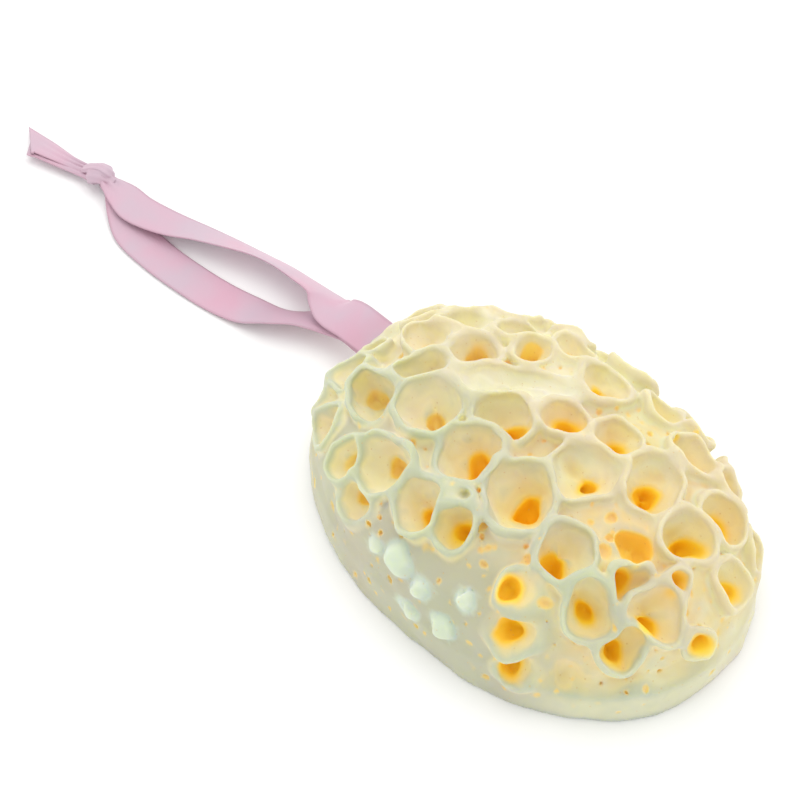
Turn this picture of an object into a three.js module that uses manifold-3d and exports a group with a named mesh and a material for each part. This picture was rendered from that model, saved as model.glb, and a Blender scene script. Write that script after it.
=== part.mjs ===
// Foam bath sponge in sea-sponge form: a flat-based oval dome covered in flared
// cups, with a doubled satin ribbon cast into one end and tied in an overhand knot.
// Millimetres, +Z up. The origin is the centre of the flat base. +X is the plain
// end of the oval, and the ribbon leaves the -X end and lies along -X on the ground.

import * as THREE from "three";
import { mergeVertices } from "three/addons/utils/BufferGeometryUtils.js";
import Module from "manifold-3d";

const wasm = await Module();
wasm.setup();

// Dome: the surface that the cup rims reach, and the foam between them.
const HALF_LENGTH = 72.5;
const HALF_WIDTH = 52;
const HEIGHT = 42;
const PLAN_POWER = 2.15;
const PROFILE_POWER = 3;
const CRUST_DEPTH = 3.6;
const BAND_HEIGHT = 10;
const DOME_SEGMENTS = 32;

// Cups: wall thickness at the rim, and how far the cup's outside runs into the foam.
const RIM_WALL = 0.9;
const CUP_ROOT = 7;

// Ribbon: a folded strip of satin, drawn thick enough to be a solid.
const RIBBON_THICKNESS = 0.8;
const STRIP_SPACING = 7.5;

// Cups that were measured one by one: mouth centre x, y, z, mouth radius, depth,
// and the x and y of the unit vector along the cup's axis, out of its mouth.
const CUPS = [
  [-43, -22, 36, 7.6, 9, 0, -0.5],
  [-26, -15, 41, 9, 9, 0, -0.1],
  [-38, -7, 40, 7.5, 8, -0.1, 0],
  [-22, -35, 34, 9.3, 11, -0.2, -0.6],
  [-7, -18, 41, 9, 10, -0.1, -0.2],
  [-9, -2, 42, 7.8, 8, 0, -0.1],
  [12, -16, 41, 10.6, 12, 0, -0.1],
  [-33, 9, 40, 6.8, 7, 0, 0.1],
  [-49, 4, 37, 6.8, 6, -0.3, 0.1],
  [-23, 22, 40, 5, 7, 0, 0.2],
  [-21, 6, 42, 6.6, 4, 0, 0.1],
  [-14, 12, 42, 5.5, 4, 0, 0.1],
  [-35, -39, 29, 5.4, 7, -0.3, -0.7],
  [-21, -46, 24, 6.6, 8, -0.2, -0.8],
  [-51, -33, 24, 6.2, 7, -0.6, -0.6],
  [-58, -18, 30, 6.6, 7, -0.6, -0.4],
  [-47, 19, 35, 7.6, 6, -0.3, 0.4],
  [-33, 27, 36, 6.8, 6, -0.1, 0.5],
  [-6, -36, 36, 7.6, 9, -0.1, -0.5],
  [9, -36, 36, 5.8, 9, 0, -0.5],
  [2, 10, 42, 6.4, 8, 0.1, 0.1],
  [16, 16, 41, 6.8, 9, 0.1, 0.2],
  [19, 1, 42, 9, 7, 0.1, -0.1],
  [-1, 30, 38, 7.4, 8, 0.1, 0.4],
  [-9, 19, 41, 5.2, 6, 0.1, 0.2],
  [32, 14, 40, 9, 9, 0.3, 0.1],
  [31, 33, 34, 7, 8, 0.3, 0.5],
  [-18, 34, 36, 6.4, 7, 0, 0.5],
  [13, 40, 32, 6, 7, 0.2, 0.7],
  [50, 25, 31, 6.8, 9, 0.5, 0.3],
  [32, -18, 39, 8.6, 9, 0.3, -0.1],
  [49, 10, 36, 9, 10, 0.4, 0.1],
  [45, -27, 33, 7.2, 11, 0.5, -0.4],
  [42, -4, 39, 4.6, 11, 0.3, -0.1],
  [50, -12, 36, 5.8, 10, 0.6, -0.1],
  [60, -9, 30, 7.6, 11, 0.6, -0.1],
  [58, -23, 26, 6.8, 11, 0.6, -0.3],
  [69, -4, 22, 4.6, 7, 0.8, -0.1],
  [64, 15, 25, 6.2, 8, 0.7, 0.3],
  [50, -37, 17, 6, 3, 0.5, -0.8],
  [30, -36, 33, 4.8, 11, 0.2, -0.5],
  [37, -41, 24, 5, 11, 0.3, -0.7],
  [40, -44, 13, 3.8, 6, 0.4, -0.8],
];

// Cups on the far side and the ribbon end: bearing round the oval in degrees from
// +X, height, mouth radius and depth. They face straight out of the dome.
const SIDE_CUPS = [
  [38, 17, 5.6, 7],
  [52, 26, 6.4, 8],
  [62, 15, 6.2, 8],
  [73, 26, 5.4, 7],
  [82, 16, 6.8, 9],
  [93, 27, 6.8, 8],
  [102, 16, 5.4, 7],
  [112, 27, 5.6, 7],
  [121, 17, 6.6, 8],
  [131, 27, 6.8, 9],
  [139, 15, 5.2, 7],
  [148, 26, 6.2, 8],
  [156, 16, 6.4, 8],
  [165, 28, 6, 7],
  [171, 14, 5, 6],
  [192, 15, 5.4, 7],
  [186, 28, 5.4, 7],
  [207, 17, 6, 8],
];

// Soft nubs on the near wall: x, y, z and radius.
const NUBS = [
  [-10, -46.6, 23, 3],
  [-1, -46.6, 25, 4],
  [9, -46.6, 23, 3],
  [6, -49.6, 14, 3.4],
  [19, -47, 17, 3],
];

// Centre line of each ribbon run: x, y, z, how far the strip is rolled about its
// length in degrees from flat, and its width there. The two strands leave the foam
// together, part into the loop, and are gathered into the knot's neck.
const LOWER_STRAND = [
  [-54, 3.6, 14.5, -30, 13.5],
  [-66, 3.4, 15.3, -34, 13.5],
  [-76, 3.9, 14.5, -38, 13.5],
  [-85, 4.8, 11.6, -26, 13.5],
  [-94, 2.4, 6.6, -2, 13.5],
  [-102, -1.6, 4, 20, 13.5],
  [-109, -6.4, 3, 20, 13.5],
  [-118, -11, 1.4, 5, 13.5],
  [-129, -14.2, 0.8, 0, 13.5],
  [-142, -16.6, 0.8, 0, 13.5],
  [-156, -18.2, 0.8, 0, 13.5],
  [-170, -18.4, 1, 0, 13],
  [-181, -16.4, 2, 0, 9.8],
  [-188, -14.2, 3.4, 0, 5.6],
  [-195, -12.8, 4.6, 0, 4.6],
];
const UPPER_STRAND = [
  [-54, 4.1, 15.6, -30, 13.5],
  [-66, 3.9, 16.4, -34, 13.5],
  [-76, 4.4, 15.6, -38, 13.5],
  [-85, 5.4, 12.8, -24, 13.5],
  [-94, 5.6, 9.8, 4, 13.5],
  [-103, 7.6, 7, 34, 13.5],
  [-113, 8.4, 6, 41, 13.5],
  [-123, 7.2, 5.6, 43, 13.5],
  [-132, 4.8, 5.4, 42, 13.5],
  [-142, 1.2, 5, 34, 13.5],
  [-153, -2.9, 4.2, 24, 13.5],
  [-165, -7.8, 3.2, 10, 13.5],
  [-177, -11.3, 3.2, 2, 12.6],
  [-187, -12.8, 4.4, 0, 7.4],
  [-195, -12.6, 5.6, 0, 4.6],
];
const TAIL = [
  [-199, -13, 5, 0, 4.6],
  [-206, -14.1, 3.8, 10, 4.6],
  [-213, -15.6, 3, 16, 6.6],
  [-222, -17.6, 2.5, 16, 9.2],
  [-232, -19.8, 2.2, 14, 11.6],
];
const TAIL_CUT_SLANT = -10;
const KNOT_CENTRE = [-197.5, -12.7, 5.2];

// Clear slot round the ribbon's root: the same kind of rows, wider and thicker.
const ROOT_SLOT = [
  [-51, 3.8, 15.1, -30, 15.1],
  [-66, 3.6, 15.9, -34, 15.1],
  [-76, 4.1, 15.1, -38, 15.1],
  [-88, 4.9, 10.8, -26, 15.1],
];
const ROOT_SLOT_THICKNESS = 3.6;

function solid(geometry) {
  const bare = geometry.clone();
  bare.deleteAttribute("normal");
  bare.deleteAttribute("uv");
  const merged = mergeVertices(bare, 1e-4);
  return new wasm.Manifold(new wasm.Mesh({
    numProp: 3,
    vertProperties: new Float32Array(merged.attributes.position.array),
    triVerts: new Uint32Array(merged.index.array),
  }));
}

function toGeometry(manifold) {
  const mesh = manifold.getMesh();
  const geometry = new THREE.BufferGeometry();
  geometry.setAttribute("position", new THREE.BufferAttribute(mesh.vertProperties, 3));
  geometry.setIndex(new THREE.BufferAttribute(mesh.triVerts, 1));
  geometry.computeVertexNormals();
  return geometry;
}

function signedPower(value, power) {
  return Math.sign(value) * Math.abs(value) ** power;
}

// A lathe profile of [radius, height] points, turned about +Z.
function turned(profile, segments) {
  const points = profile.map(([radius, height]) => new THREE.Vector2(radius, height));
  const lathe = new THREE.LatheGeometry(points, segments);
  lathe.rotateX(Math.PI / 2);
  return lathe;
}

// Size of the rim surface's plan at a height, as a fraction of the base.
function planFraction(z) {
  return (1 - (z / HEIGHT) ** PROFILE_POWER) ** (1 / PROFILE_POWER);
}

// Oval dome: a round lathe whose rings are reshaped into superellipses.
function domeSolid() {
  const inset = 1 - CRUST_DEPTH / HALF_WIDTH;
  const profile = [[0, 0], [0.985, 0], [1, 0.8], [1, BAND_HEIGHT - 2], [0.975, BAND_HEIGHT + 3]];
  for (const z of [18, 24, 30, 34.5, 38]) {
    profile.push([planFraction(z) * inset, z - CRUST_DEPTH * (z / HEIGHT)]);
  }
  profile.push([0, HEIGHT - CRUST_DEPTH]);
  const dome = turned(profile, DOME_SEGMENTS);
  const position = dome.attributes.position;
  for (let i = 0; i < position.count; i += 1) {
    const radius = Math.hypot(position.getX(i), position.getY(i));
    const bearing = Math.atan2(position.getY(i), position.getX(i));
    position.setX(i, HALF_LENGTH * radius * signedPower(Math.cos(bearing), 2 / PLAN_POWER));
    position.setY(i, HALF_WIDTH * radius * signedPower(Math.sin(bearing), 2 / PLAN_POWER));
  }
  return solid(dome);
}

// Point on the rim surface at a bearing and height, with its outward normal.
function rimPoint(bearingDegrees, z) {
  const bearing = THREE.MathUtils.degToRad(bearingDegrees);
  const fraction = planFraction(z);
  const x = HALF_LENGTH * fraction * signedPower(Math.cos(bearing), 2 / PLAN_POWER);
  const y = HALF_WIDTH * fraction * signedPower(Math.sin(bearing), 2 / PLAN_POWER);
  const slope = (z / HEIGHT) ** (PROFILE_POWER - 1) / HEIGHT;
  const normal = new THREE.Vector3(
    signedPower(x / HALF_LENGTH, PLAN_POWER - 1) / HALF_LENGTH,
    signedPower(y / HALF_WIDTH, PLAN_POWER - 1) / HALF_WIDTH,
    slope,
  );
  return { mouth: new THREE.Vector3(x, y, z), normal: normal.normalize() };
}

// Each cup has a mouth centre, an axis out of the mouth, a mouth radius and a depth.
function listCups() {
  const cups = CUPS.map(([x, y, z, radius, depth, leanX, leanY]) => ({
    mouth: new THREE.Vector3(x, y, z),
    axis: new THREE.Vector3(leanX, leanY, Math.sqrt(1 - leanX ** 2 - leanY ** 2)),
    radius,
    depth,
  }));
  for (const [bearing, z, radius, depth] of SIDE_CUPS) {
    const { mouth, normal } = rimPoint(bearing, z);
    cups.push({ mouth, axis: normal, radius, depth });
  }
  return cups;
}

function placed(geometry, { mouth, axis }) {
  const turn = new THREE.Quaternion().setFromUnitVectors(new THREE.Vector3(0, 0, 1), axis);
  geometry.applyQuaternion(turn);
  geometry.translate(mouth.x, mouth.y, mouth.z);
  return solid(geometry);
}

function cupSegments(radius) {
  return radius > 7 ? 8 : 6;
}

function cupOutside(cup) {
  const rim = cup.radius + RIM_WALL / 2;
  const profile = [[0, -CUP_ROOT], [0.62 * rim, -CUP_ROOT], [0.8 * rim, -2.8], [rim, 0], [0, 0]];
  return placed(turned(profile, cupSegments(cup.radius)), cup);
}

function cupHollow(cup) {
  const inner = cup.radius - RIM_WALL / 2;
  const profile = [
    [0, -cup.depth],
    [0.32 * inner, -cup.depth],
    [0.66 * inner, -0.45 * cup.depth],
    [inner, 0.4],
    [0, 0.4],
  ];
  return placed(turned(profile, cupSegments(cup.radius)), cup);
}

function nubSolid([x, y, z, radius]) {
  const ball = new THREE.SphereGeometry(radius, 8, 5);
  ball.scale(1, 0.8, 0.9);
  ball.translate(x, y, z);
  return solid(ball);
}

function spongeSolid() {
  const cups = listCups();
  let body = domeSolid();
  for (const nub of NUBS) {
    body = body.add(nubSolid(nub));
  }
  for (const cup of cups) {
    body = body.add(cupOutside(cup));
  }
  for (const cup of cups) {
    body = body.subtract(cupHollow(cup));
  }
  return body;
}

// Sections along a run of ribbon, evenly spaced, each with its centre, width, and
// width and thickness directions. Rolls and widths are interpolated along the run.
function stripSections(run, spacing) {
  const curve = new THREE.CatmullRomCurve3(run.map(([x, y, z]) => new THREE.Vector3(x, y, z)));
  const count = Math.max(3, Math.round(curve.getLength() / spacing));
  const sections = [];
  for (let i = 0; i <= count; i += 1) {
    const t = curve.getUtoTmapping(i / count);
    const place = t * (run.length - 1);
    const before = Math.min(Math.floor(place), run.length - 2);
    const [row, next] = [run[before], run[before + 1]];
    const mixed = (column) => THREE.MathUtils.lerp(row[column], next[column], place - before);
    const along = curve.getTangent(t);
    const across = new THREE.Vector3(0, 0, 1).cross(along).normalize();
    const side = across.applyAxisAngle(along, THREE.MathUtils.degToRad(mixed(3)));
    const up = new THREE.Vector3().crossVectors(along, side);
    sections.push({ centre: curve.getPoint(t), width: mixed(4), side, up });
  }
  return sections;
}

// A closed strip with a rectangular section. slant is how much further along the
// run the near edge's last corner lies than the far edge's.
function stripSolid(run, thickness, slant = 0) {
  const sections = stripSections(run, STRIP_SPACING);
  const corners = [[-1, -1], [1, -1], [1, 1], [-1, 1]];
  const last = sections.length - 1;
  const vertices = [];
  const triangles = [];
  sections.forEach(({ centre, width, side, up }, i) => {
    const along = new THREE.Vector3().crossVectors(side, up);
    for (const [across, over] of corners) {
      const point = centre.clone();
      point.addScaledVector(side, across * width / 2);
      point.addScaledVector(up, over * thickness / 2);
      point.addScaledVector(along, i === last ? across * slant / 2 : 0);
      vertices.push(...point.toArray());
    }
  });
  for (let i = 0; i < last; i += 1) {
    for (let j = 0; j < 4; j += 1) {
      const a = 4 * i + j;
      const b = 4 * i + (j + 1) % 4;
      triangles.push(a, b, b + 4, a, b + 4, a + 4);
    }
  }
  const end = 4 * last;
  triangles.push(0, 3, 2, 0, 2, 1, end, end + 1, end + 2, end, end + 2, end + 3);
  return new wasm.Manifold(new wasm.Mesh({
    numProp: 3,
    vertProperties: new Float32Array(vertices),
    triVerts: new Uint32Array(triangles),
  }));
}

// Overhand knot: a rounded core with two bands crossing over it.
function knotSolid() {
  const core = new THREE.SphereGeometry(1, 10, 6);
  core.scale(6.2, 4.4, 3.9);
  const bands = [[0.5, 0.35], [-0.55, -0.3]].map(([turn, tip]) => {
    const band = new THREE.TorusGeometry(3.3, 1.5, 6, 10);
    band.rotateY(Math.PI / 2 + tip);
    band.rotateZ(turn);
    band.scale(1.2, 1.1, 0.92);
    return band;
  });
  const parts = [core, ...bands].map((geometry) => {
    geometry.translate(...KNOT_CENTRE);
    return solid(geometry);
  });
  return parts[0].add(parts[1]).add(parts[2]);
}

function ribbonSolid() {
  const lower = stripSolid(LOWER_STRAND, RIBBON_THICKNESS);
  const upper = stripSolid(UPPER_STRAND, RIBBON_THICKNESS);
  const tail = stripSolid(TAIL, 1.4 * RIBBON_THICKNESS, TAIL_CUT_SLANT);
  return lower.add(upper).add(tail).add(knotSolid());
}

function foamMaterial() {
  return new THREE.MeshStandardMaterial({ color: 0xf0e4b8, roughness: 0.85, metalness: 0 });
}

function satinMaterial() {
  return new THREE.MeshStandardMaterial({ color: 0xe8b8cd, roughness: 0.4, metalness: 0 });
}

const rootSlot = stripSolid(ROOT_SLOT, ROOT_SLOT_THICKNESS);
const sponge = new THREE.Mesh(toGeometry(spongeSolid().subtract(rootSlot)), foamMaterial());
sponge.name = "sponge";

const ribbon = new THREE.Mesh(toGeometry(ribbonSolid()), satinMaterial());
ribbon.name = "ribbon";

const part = new THREE.Group();
part.add(sponge, ribbon);

export default part;
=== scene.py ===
"""Foam bath sponge in sea-sponge form, with a knotted satin ribbon loop."""

import math

import bpy
import numpy as np
import openvdb
from mathutils import Matrix, Vector


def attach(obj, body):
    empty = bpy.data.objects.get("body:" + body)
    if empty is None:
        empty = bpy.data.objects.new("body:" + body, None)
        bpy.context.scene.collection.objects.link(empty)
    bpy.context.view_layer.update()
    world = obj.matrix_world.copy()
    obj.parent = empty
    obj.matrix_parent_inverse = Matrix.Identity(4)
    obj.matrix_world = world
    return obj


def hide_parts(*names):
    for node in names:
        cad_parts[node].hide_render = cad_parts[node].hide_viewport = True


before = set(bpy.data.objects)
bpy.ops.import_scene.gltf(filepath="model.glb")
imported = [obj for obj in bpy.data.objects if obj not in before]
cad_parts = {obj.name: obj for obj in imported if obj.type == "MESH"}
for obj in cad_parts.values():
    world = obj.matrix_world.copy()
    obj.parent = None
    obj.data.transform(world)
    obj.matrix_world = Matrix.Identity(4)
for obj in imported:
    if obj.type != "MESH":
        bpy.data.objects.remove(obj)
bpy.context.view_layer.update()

MM = 0.001

# ---------------------------------------------------------------- foam sizes, mm
# The dome that the cup rims reach, a superellipse in plan and in profile.
HALF_LENGTH, HALF_WIDTH, HEIGHT = 72.5, 52.0, 42.0
PLAN_POWER, PROFILE_POWER = 2.15, 3.0

# How far inside that dome the foam between the cups lies, and the foam of the near
# wall. Below the band's top it is plain and reaches the dome.
CRUST, NEAR_WALL_CRUST = 4.0, 1.0
BAND_TOP = 12.5

# The near wall's bearings in degrees, where it fades in and out again, and the
# heights over which its flatness and its painted shade, a duller grey, fade.
NEAR_IN, NEAR_OUT = (206.0, 232.0), (300.0, 322.0)
FLAT_TOP, SHADE_TOP = (24.0, 33.0), (30.0, 38.0)

# A cup's wall at its mouth and at its floor, how far its hole goes on below its
# bowl, and the share of that which the palest holes lose.
RIM_WALL, FLOOR_WALL, HOLE_DROP, PALE_SHORT = 1.75, 4.0, 4.0, 0.6

# The bowl's roundness, how much it flares for each mm above its mouth, and about
# how far a level of 1 is, as a share of the cup's lesser radius.
BOWL_POWER, FLARE, LEVEL_SCALE = 2.1, 0.35, 0.85

# The x over which the holes turn from pale, at the ribbon's side, to deep.
PALE_X = (-32.0, 2.0)

# The grid that the foam's distance is kept on, and the most triangles it ends with.
VOXEL = 0.55
GRID_LOW = np.array([-77.0, -57.0, -3.0])
GRID_HIGH = np.array([77.0, 57.0, 48.0])
MAX_TRIANGLES = 192000

# What the marking fields hold where nothing is near, and the field off the grid.
FAR, BACKGROUND = 9.0, 8.0

# Seeded unevenness of the foam's surface and of the shapes in it: grain and height.
SEED = 11
SURFACE_COARSE, SURFACE_FINE = (3.2, 0.28), (1.1, 0.06)
WARP_COARSE, WARP_FINE = (3.0, 0.58), (1.2, 0.15)

# How softly each shape joins the foam or is cut out of it.
CUP_JOIN, NUB_JOIN, ROOT_JOIN = 2.3, 0.8, 2.0
BOWL_CUT, SHAFT_CUT, HOLE_CUT, DIMPLE_CUT = 1.2, 0.4, 0.7, 1.6
SLOT_CUT, PIT_CUT, BASE_CUT = 0.3, 0.25, 0.7

# How far beyond a shape the grid is changed.
MARGIN, CUP_MARGIN, HOLE_MARGIN, PIT_MARGIN = 4.0, 5.5, 7.0, 2.0

# Added to a marking field's distance, so that paler holes take less of the painted amber glow.
PALE_OFFSET, HOLE_OFFSET, DIMPLE_OFFSET = 0.7, 0.45, 1.7

# A cup's outline wavers twice and three times round, and its rim's height twice.
OVAL_WAVE, TRIPLE_WAVE, RIM_WAVE = 0.06, 0.04, 0.07

# Pinholes: places tried, the least step between two, the share kept on the plain
# band, and the height below which there are none; then their radius and stretch,
# each as the least and the most that is added.
PINHOLE_TRIES, PINHOLE_STEP, BAND_SHARE, PLAIN_FOOT = 6000, 5.5, 0.08, 4.0
PINHOLE_RADIUS, PINHOLE_STRETCH = (0.3, 0.6), (0.8, 0.5)

# The foam draws in round the ribbon's root: how far, the dent's middle y and its
# reach, and the distances towards the ribbon and up over which it grows.
ROOT_DENT, ROOT_Y, ROOT_REACH = 3.2, -6.0, 8.5
DENT_X, DENT_Z = (34.0, 66.0), (1.0, 12.0)

# Plain foam closes round the ribbon where it comes out: centre, radii along the
# ribbon, across it and through it, and how far the ribbon leans there in degrees.
ROOT_LUMP, ROOT_LUMP_RADII, ROOT_LEAN = (-65.5, 3.9, 14.8), (8.0, 9.5, 4.6), 36.0

# Towards the viewer's side: cups nearer to it are made later, so their walls
# stand in front of their neighbours' bowls.
FRONT = np.array([0.49, -0.42, 0.77])

# Cup: mouth centre x, y, z, mouth radius, bowl depth, the axis's x and y, the
# radius of the deep hole in the bowl (0 where there is none) and the hole's
# offset in x and y from the bowl's axis.
CUPS = [
    (-43, -22, 36, 7.6, 9, 0, -0.5, 3, -1.5, -1),
    (-26, -15, 41, 9, 9, 0, -0.1, 3, 1, 0.5),
    (-38, -7, 40, 7.5, 8, -0.1, 0, 2.6, 0.5, 2),
    (-23, -35.5, 34.2, 8.4, 7.5, -0.2, -0.6, 3.0, -0.4, 0.7),
    (-7, -18, 41, 9, 10, -0.1, -0.2, 3.4, 1, 1),
    (-9, -2, 42, 7.8, 8, 0, -0.1, 3, 3, 0),
    (12.8, -16.6, 41.2, 10.2, 11, 0, -0.1, 4, 1.3, 0.7),
    (-33, 9, 40, 6.8, 7, 0, 0.1, 2.8, -1.5, 2),
    (-49, 4, 37, 6.8, 6, -0.3, 0.1, 2, 0, 0),
    (-23, 22, 40, 5, 7, 0, 0.2, 2.4, -1.5, 2),
    (-35, -39, 29, 5.4, 5, -0.3, -0.7, 2.4, -0.6, -0.6),
    (-23, -44.7, 26.4, 6.2, 5, -0.2, -0.8, 2.6, -0.8, 0.2),
    (-51, -33, 24, 6.2, 7, -0.6, -0.6, 2.6, 0, 0),
    (-58, -18, 30, 6.6, 7, -0.6, -0.4, 2.6, 0, 0),
    (-47, 19, 35, 7.6, 6, -0.3, 0.4, 2.4, 0, 0),
    (-33, 27, 36, 6.8, 6, -0.1, 0.5, 2.4, 0, 0),
    (-5.2, -37.6, 35.2, 7.4, 9, -0.1, -0.5, 3.0, 1.8, -1),
    (6.8, -35.6, 36.4, 5.4, 8, 0, -0.5, 2.6, 0.4, -0.8),
    (2, 10, 42, 6.4, 7, 0.1, 0.1, 3, 1, 1),
    (16, 16, 41, 6.8, 8, 0.1, 0.2, 2.6, 1, 1),
    (19, 1, 42, 9, 7, 0.1, -0.1, 2.4, 2, -0.5),
    (-1, 30, 38, 7.4, 7, 0.1, 0.4, 2.4, 0, 0),
    (32, 14, 40, 9, 8, 0.3, 0.1, 3, 2, 0),
    (31, 33, 34, 7, 7, 0.3, 0.5, 2.6, 0, 0),
    (-18, 34, 36, 6.4, 6, 0, 0.5, 2.4, 0, 0),
    (13, 40, 32, 6, 6, 0.2, 0.7, 2.2, 0, 0),
    (50, 25, 31, 6.6, 8, 0.5, 0.3, 2.6, 1.5, 1),
    (33.6, -20.3, 38.9, 7.9, 8, 0.3, -0.1, 2.9, 0.5, -3.5),
    (49.5, 10, 36.4, 7.4, 9, 0.4, 0.1, 3.0, 3, 1),
    (48, -25, 32.8, 7.0, 8, 0.5, -0.4, 2.6, 0.6, -1.6),
    (50, -12, 36, 5.6, 7, 0.6, -0.1, 3.0, -1.5, -1),
    (59.6, -11, 30.6, 7.0, 8, 0.6, -0.1, 2.7, 1.8, -2.6),
    (58, -23, 26, 6.4, 8, 0.6, -0.3, 3.0, 1.5, -2),
    (69, -4, 22, 3.8, 3.6, 0.8, -0.1, 2.4, 1, 0.5),
    (64, 15, 25, 6.2, 6, 0.7, 0.3, 2.6, 3, 1),
    (57.7, -1.6, 33.1, 3.2, 5, 0.6, 0, 2.2, 0, 0),
    (1.5, -29.2, 39.3, 1.8, 2.5, 0, -0.4, 0, 0, 0),
    (31.5, -34.8, 32.4, 5.0, 2.2, 0.3, -0.5, 3.2, -0.9, -1.0),
    (36.8, -40.8, 23.8, 5.4, 2.2, 0.32, -0.62, 3.1, -1.6, -0.4),
    (40.7, -42.6, 13.8, 4.0, 2.0, 0.4, -0.66, 2.3, -0.8, -0.3),
]

# The one long, shallow cup: as a cup, with its length over its width and its bearing.
TROUGH = (-16.2, 8.3, 41.4, 5.5, 4.4, 0.0, 0.1)
TROUGH_LENGTH, TROUGH_BEARING = 3.1, 43.0

# Plain holes with no flare: mouth x, y, z, radius, depth, the axis's x and y.
HOLES = [
    (43.0, -4.0, 38.5, 4.6, 5.5, 0.3, -0.1),
]

# A soft hollow low on the near wall: its ball's centre and radius.
DIMPLE, DIMPLE_RADIUS = (52.0, -36.4, 16.6), 5.4

# Larger pits in the foam between the cups: x, y, z, radius.
PITS = [
    (32.2, -2, 37, 1.6),
    (36.6, -6.7, 36.1, 1.5),
    (38.3, -11.3, 35.5, 1.8),
    (26.5, -27.4, 35.9, 1.6),
    (17, -31.3, 35, 1.3),
    (38.3, -31.9, 31.8, 1.4),
    (10.7, -29, 35.8, 1.9),
    (3.7, -42.6, 29.8, 1.1),
    (-8.2, -50.7, 7.7, 1.1),
    (-1.2, -50, 15.5, 1),
    (9.8, -50.5, 7.5, 0.8),
    (19.9, -43.2, 27.9, 1),
    (61, -28.8, 14.6, 1.2),
    (21.6, 32.5, 34.6, 1.1),
    (23.9, 32.1, 34.4, 1.1),
    (50.6, -35.5, 16.3, 1.2),
    (53, -33.5, 16.7, 1.1),
]

# Cups on the far side and the ribbon end, on the rim surface: bearing in degrees,
# height, mouth radius, bowl depth and the radius of the deep hole.
SIDE_CUPS = [
    (38, 17, 5.6, 6, 2.2),
    (52, 26, 6.4, 7, 2.6),
    (62, 15, 6.2, 7, 2.4),
    (73, 26, 5.4, 6, 2.2),
    (82, 16, 6.8, 8, 3.0),
    (93, 27, 6.8, 7, 2.6),
    (102, 16, 5.4, 6, 2.2),
    (112, 27, 5.6, 6, 2.0),
    (121, 17, 6.6, 7, 3.0),
    (131, 27, 6.8, 8, 3.0),
    (139, 15, 5.2, 6, 2.2),
    (148, 26, 6.2, 7, 2.6),
    (156, 16, 6.4, 7, 2.6),
    (165, 28, 6, 6, 2.2),
    (170, 14, 4.6, 5, 2.0),
    (192, 15, 5.4, 6, 2.2),
    (186, 28, 5.4, 6, 2.2),
    (207, 17, 6, 7, 2.6),
]

# Soft nubs on the near wall: x, y, z, radius, and 1 where a slot opens its left side.
# The slot's radius and its offsets in x and y are shares of the nub's radius.
NUB_STRETCH, SLOT_STRETCH = (1.1, 0.9, 0.92), (0.7, 1.0, 1.2)
SLOT_RADIUS, SLOT_X, SLOT_Y = 0.42, 0.62, 0.72
NUBS = [
    (-9.7, -48.3, 20.8, 2.7, 0),
    (-1.4, -47.3, 23.6, 4.1, 0),
    (8.2, -47.9, 22.1, 3.2, 1),
    (6.3, -50.4, 12.4, 2.7, 1),
    (19.0, -48.4, 15.5, 3.8, 1),
    (22.0, -43.4, 26.0, 2.8, 0),
]


def smooth_min(a, b, k):
    """The lesser of two distances, with the crease between them rounded over k mm."""
    blend = np.clip(0.5 + 0.5 * (b - a) / k, 0.0, 1.0)
    return b * (1.0 - blend) + a * blend - k * blend * (1.0 - blend)


def smooth_max(a, b, k):
    """The greater of two distances, rounded in the same way."""
    return -smooth_min(-a, -b, k)


def smooth_step(low, high, value):
    """From 0 at low to 1 at high, with no corner at either."""
    t = np.clip((value - low) / (high - low), 0.0, 1.0)
    return t * t * (3.0 - 2.0 * t)


def grid_axes():
    """The grid's x, y and z in mm, shaped to broadcast to the whole grid."""
    counts = np.ceil((GRID_HIGH - GRID_LOW) / VOXEL).astype(int)
    axes = [GRID_LOW[i] + VOXEL * np.arange(counts[i]) for i in range(3)]
    return (axes[0][:, None, None], axes[1][None, :, None], axes[2][None, None, :])


def grid_window(axes, low, high):
    """Slices of the grid between two corners in mm."""
    return tuple(
        slice(*(int(place) for place in np.searchsorted(axis.ravel(), (low[i], high[i]))))
        for i, axis in enumerate(axes)
    )


def blurred(field, sigma):
    """Gaussian blur of a grid field by its Fourier transform, sigma in mm."""
    spectrum = np.fft.rfftn(field)
    for axis, count in enumerate(field.shape):
        last = axis == 2
        frequency = np.fft.rfftfreq(count, VOXEL) if last else np.fft.fftfreq(count, VOXEL)
        gain = np.exp(-2.0 * (math.pi * sigma * frequency) ** 2)
        spectrum *= gain.reshape([-1 if i == axis else 1 for i in range(3)])
    return np.fft.irfftn(spectrum, field.shape).astype(np.float32)


def envelope_distance(x, y, z):
    """Distance to the dome that the cup rims reach, negative inside."""
    plan = (np.abs(x) / HALF_LENGTH) ** PLAN_POWER + (np.abs(y) / HALF_WIDTH) ** PLAN_POWER
    rise = (np.clip(z, 0.0, None) / HEIGHT) ** PROFILE_POWER
    level = (plan ** (PROFILE_POWER / PLAN_POWER) + rise) ** (1.0 / PROFILE_POWER)
    slope = np.sqrt(sum(g * g for g in np.gradient(level, VOXEL)))
    return ((level - 1.0) / np.maximum(slope, 0.008)).astype(np.float32)


def root_dent(x, y, z):
    """How far the foam's end is drawn in along +X, towards the ribbon's root."""
    side = np.exp(-(((y - ROOT_Y) / ROOT_REACH) ** 2))
    return ROOT_DENT * side * smooth_step(*DENT_X, -x) * smooth_step(*DENT_Z, z)


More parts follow.
